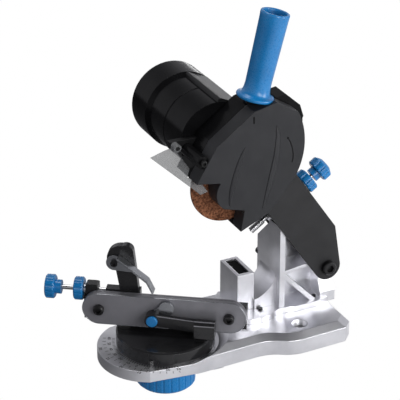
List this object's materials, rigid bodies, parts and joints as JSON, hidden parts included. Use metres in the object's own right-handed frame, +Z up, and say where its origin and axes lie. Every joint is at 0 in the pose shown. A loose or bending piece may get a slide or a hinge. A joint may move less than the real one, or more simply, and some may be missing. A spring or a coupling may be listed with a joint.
{
  "type": "electric chainsaw sharpener",
  "caption": "Bench grinder for saw chains: swinging head with motor, thin wheel and upright grip, over a turning chain vise with stop, lever and depth screw on a cast base",
  "frame": {"origin": "midway between the two bench holes, on the plane of the base's underside", "axes": "+X from the chain vise to the rear pivot, +Y towards the motor, +Z up"},
  "size_m": [0.3693, 0.2525, 0.4848],
  "materials": {
    "cast_silver": "sand-cast and blasted",
    "black_iron": "black semi-gloss enamel",
    "arm_black": "black textured enamel",
    "black_oxide": "blackened socket screws",
    "plain_steel": "ground",
    "bright_steel": "bright zinc",
    "bronze": "sintered bronze",
    "laminations": "varnished laminations",
    "cover_grey": "dark grey moulded",
    "gloss_black": "black glossy moulded",
    "matte_black": "black moulded",
    "blue_grip": "blue moulded",
    "white_washer": "white nylon",
    "carbon": "pressed carbon",
    "belt_rubber": "toothed belt",
    "abrasive": "brown vitrified abrasive",
    "jaw_grey": "grey phosphated with bright bevel",
    "clear_visor": "clear polycarbonate"
  },
  "bodies": {
    "base": {"base_plate": "cast_silver", "rear_bracket": "cast_silver", "bracket_bolts": "black_oxide", "pivot_bolt": "black_oxide", "pivot_nut": "plain_steel", "pivot_bushes": "bronze", "return_spring": "plain_steel"},
    "turntable": {"turntable_disc": "black_iron", "clamp_stud": "plain_steel", "vise_body": "black_iron", "rear_jaw": "jaw_grey", "jaw_bolts": "black_oxide", "vise_screws": "black_oxide", "stop_guide": "black_iron"},
    "clamp_knob": {"clamp_knob": "blue_grip", "clamp_washer": "plain_steel"},
    "jaw": {"front_jaw": "jaw_grey"},
    "lever": {"clamp_lever": "black_iron", "lever_cap": "blue_grip", "lever_cam": "bright_steel", "lever_stud": "plain_steel"},
    "stop_carriage": {"stop_slider": "black_iron", "stop_post": "black_iron", "pawl_bolt": "black_oxide"},
    "pawl": {"stop_pawl": "bright_steel"},
    "adjust_screw": {"adjust_rod": "plain_steel", "adjust_knob": "blue_grip"},
    "adjust_lock": {"adjust_lock_knob": "blue_grip", "adjust_washer": "plain_steel"},
    "head": {"front_cover": "cover_grey", "back_shell": "gloss_black", "cover_screws": "black_oxide", "shell_hump": "gloss_black", "swing_arm": "arm_black", "motor_housing": "gloss_black", "motor_end_cap": "gloss_black", "motor_stator": "laminations", "ball_bearings": "plain_steel", "carbon_brushes": "carbon", "drive_belt": "belt_rubber", "wiring_duct": "matte_black", "switch_housing": "matte_black", "cord_inlet": "belt_rubber", "handle_grip": "blue_grip", "handle_bolt": "plain_steel", "visor_bracket": "matte_black"},
    "rotor": {"rotor": "laminations", "motor_pulley": "plain_steel"},
    "wheel": {"wheel_spindle": "plain_steel", "grinding_wheel": "abrasive", "wheel_flanges": "plain_steel", "wheel_nut": "plain_steel", "spindle_pulley": "plain_steel"},
    "rocker": {"switch_rocker": "matte_black"},
    "depth_lock": {"depth_lock_knob": "blue_grip", "depth_washer": "white_washer"},
    "visor": {"spark_visor": "clear_visor"},
    "visor_screw": {"visor_knob": "matte_black"},
    "depth_rod": {"depth_rod": "plain_steel"},
    "depth_knob": {"depth_knob": "blue_grip"}
  },
  "joints": [
    {"name": "head_swing", "type": "hinge", "parent": "base", "child": "head", "pos_m": [0.0565, 0, 0.082], "axis": [0, -1, 0], "range_deg": [0, 27], "stiffness_Nm_per_rad": 14, "springref_deg": -42.97},
    {"name": "motor_spin", "type": "hinge", "parent": "head", "child": "rotor", "pos_m": [-0.079, 0.06, 0.27], "axis": [0, 1, 0], "continuous": true},
    {"name": "wheel_spin", "type": "hinge", "parent": "head", "child": "wheel", "pos_m": [-0.077, 0, 0.219], "axis": [0, 1, 0], "continuous": true},
    {"name": "turntable_turn", "type": "hinge", "parent": "base", "child": "turntable", "pos_m": [-0.163, 0, 0.015], "axis": [0, 0, 1], "range_deg": [-100, 0]},
    {"name": "clamp_knob_turn", "type": "hinge", "parent": "turntable", "child": "clamp_knob", "pos_m": [-0.163, 0, -0.02], "axis": [0, 0, 1], "continuous": true},
    {"name": "lever_turn", "type": "hinge", "parent": "turntable", "child": "lever", "pos_m": [-0.18503, -0.00916, 0.0565], "axis": [-0.565, -0.8251, 0], "range_deg": [0, 60]},
    {"name": "jaw_slide", "type": "slide", "parent": "turntable", "child": "jaw", "axis": [0.565, 0.8251, 0], "range_m": [0, 0.0011]},
    {"name": "stop_travel", "type": "slide", "parent": "turntable", "child": "stop_carriage", "axis": [0.8251, -0.565, 0], "range_m": [-0.004, 0.004]},
    {"name": "adjust_turn", "type": "hinge", "parent": "stop_carriage", "child": "adjust_screw", "pos_m": [-0.25862, 0.07275, 0.079], "axis": [0.8251, -0.565, 0], "continuous": true},
    {"name": "adjust_lock_turn", "type": "hinge", "parent": "turntable", "child": "adjust_lock", "pos_m": [-0.2512, 0.06766, 0.079], "axis": [0.8251, -0.565, 0], "continuous": true},
    {"name": "pawl_flip", "type": "hinge", "parent": "stop_carriage", "child": "pawl", "pos_m": [-0.21581, 0.03616, 0.123], "axis": [-0.565, -0.8251, 0], "range_deg": [0, 20]},
    {"name": "depth_travel", "type": "slide", "parent": "head", "child": "depth_rod", "axis": [0.8261, 0, 0.5635], "range_m": [-0.002, 0.004]},
    {"name": "depth_turn", "type": "hinge", "parent": "depth_rod", "child": "depth_knob", "pos_m": [0.05797, 0.01, 0.20406], "axis": [0.8261, 0, 0.5635], "continuous": true},
    {"name": "depth_lock_turn", "type": "hinge", "parent": "head", "child": "depth_lock", "pos_m": [0.04145, 0.01, 0.19279], "axis": [0.8261, 0, 0.5635], "continuous": true},
    {"name": "rocker_tilt", "type": "hinge", "parent": "head", "child": "rocker", "pos_m": [-0.024, 0.07, 0.27], "axis": [0, 0, 1], "range_deg": [0, 14]},
    {"name": "visor_tilt", "type": "hinge", "parent": "head", "child": "visor", "pos_m": [-0.14, 0.014, 0.276], "axis": [0, 1, 0], "range_deg": [0, 18]},
    {"name": "visor_screw_turn", "type": "hinge", "parent": "head", "child": "visor_screw", "pos_m": [-0.122, -0.026, 0.267], "axis": [0, -1, 0], "continuous": true}
  ],
  "couplings": [
    {"joint": "wheel_spin", "follows": "motor_spin", "ratio": 0.5},
    {"joint": "jaw_slide", "follows": "lever_turn", "m_per_rad": 0.0010409}
  ]
}
